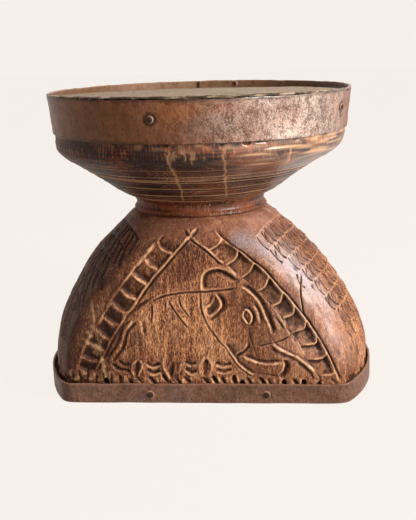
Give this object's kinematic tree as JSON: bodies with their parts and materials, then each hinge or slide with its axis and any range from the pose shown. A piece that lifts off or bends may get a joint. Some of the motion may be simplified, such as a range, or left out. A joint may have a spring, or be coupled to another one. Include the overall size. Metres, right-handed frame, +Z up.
{
  "type": "carved wooden stool",
  "caption": "Hourglass stool carved from one wood block: flat-sided dome foot with elephant relief, turned bowl seat, iron band round the rim and iron strap round the foot.",
  "frame": {"origin": "on the floor, at the centre of the foot", "axes": "+Z up, -Y towards the front, which carries the elephant relief, +X to the right seen from the front"},
  "size_m": [0.392, 0.3532, 0.3468],
  "materials": {
    "carved_wood": "old hand-rubbed dark reddish brown hardwood, worn paler on ridges",
    "band_iron": "old hammered iron with brown rust patina",
    "nail_iron": "hammered iron nail heads with orange rust"
  },
  "bodies": {
    "root": {"stool_block": "carved_wood", "rim_band": "band_iron", "foot_strap": "band_iron", "rim_nail_left": "nail_iron", "rim_nail_front": "nail_iron", "rim_nail_right": "nail_iron", "rim_rivet_upper": "nail_iron", "rim_rivet_lower": "nail_iron", "strap_nail_left": "nail_iron", "strap_nail_right": "nail_iron", "strap_lap_nail_left": "nail_iron", "strap_lap_nail_right": "nail_iron"}
  },
  "joints": []
}
